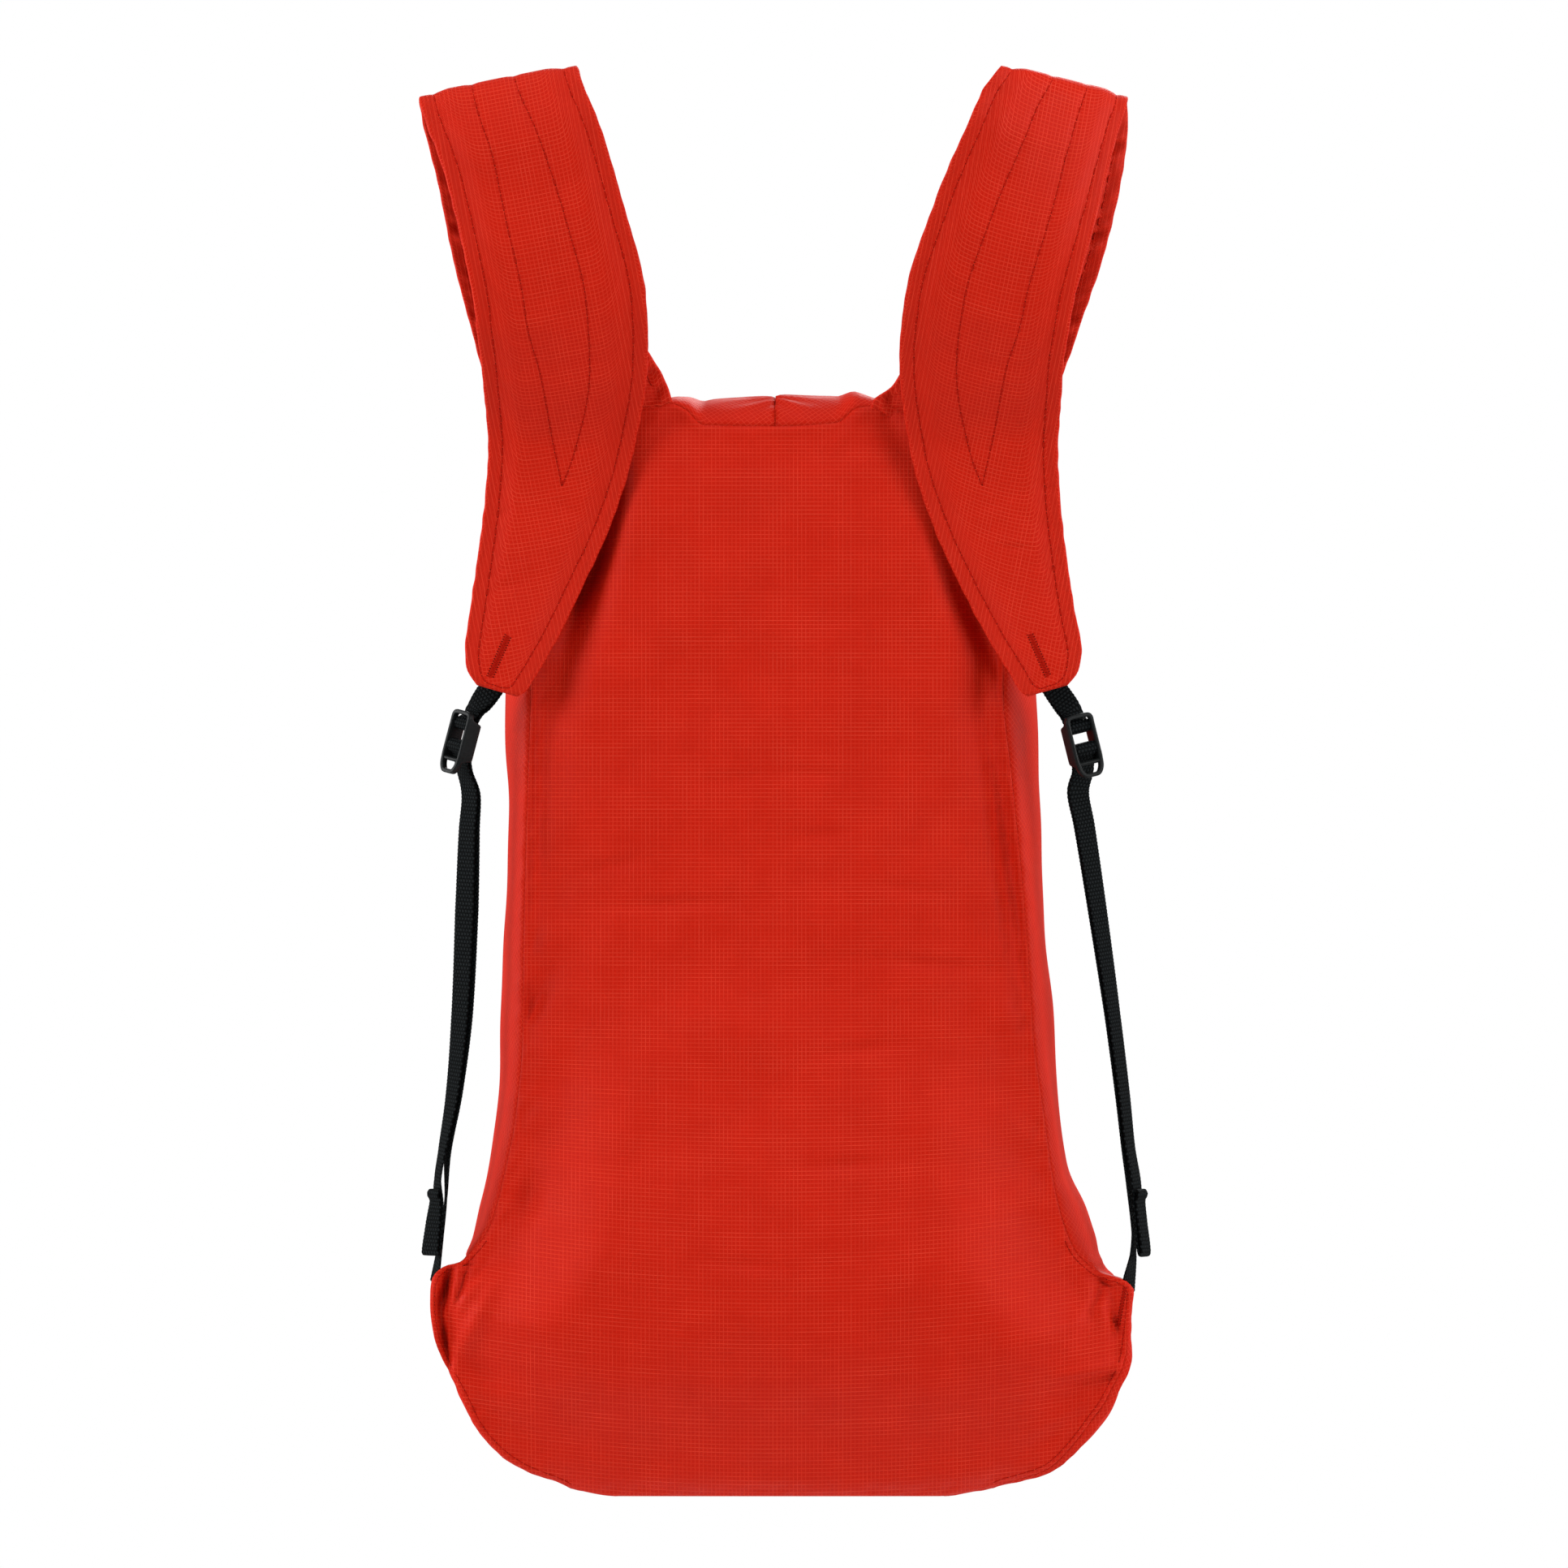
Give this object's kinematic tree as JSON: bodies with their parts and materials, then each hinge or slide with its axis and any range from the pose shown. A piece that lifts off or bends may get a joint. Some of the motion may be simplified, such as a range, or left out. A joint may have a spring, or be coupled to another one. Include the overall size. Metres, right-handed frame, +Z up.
{
  "type": "lightweight backpack",
  "caption": "Lightweight red ripstop backpack hung by its padded shoulder straps, with side wings, black adjuster webbing and ladder-lock buckles, and a top opening with a zip.",
  "frame": {"origin": "midway between the undersides of the two strap folds, where the pack hangs or lies on the shoulders", "axes": "+Z up, -Y towards the wearer's side that the picture shows, +X to the right of someone facing that side"},
  "size_m": [0.3175, 0.2304, 0.6206],
  "materials": {
    "cloth": "thin red ripstop with a fine square grid of thicker threads",
    "strap_cloth": "red ripstop over thin padding, stitched round the edge",
    "webbing": "black ribbed nylon webbing",
    "buckle": "black moulded plastic, satin",
    "zip": "black woven zip tape"
  },
  "bodies": {
    "root": {"back_panel": "cloth", "front_panel": "cloth", "gusset_left": "cloth", "bottom_panel": "cloth", "gusset_right": "cloth", "zip_tape_front": "zip", "zip_tape_gusset": "zip", "strap_left": "strap_cloth", "ladder_lock_left": "buckle", "tip_webbing_left": "webbing", "adjuster_webbing_left": "webbing", "strap_right": "strap_cloth", "ladder_lock_right": "buckle", "tip_webbing_right": "webbing", "adjuster_webbing_right": "webbing"}
  },
  "joints": []
}
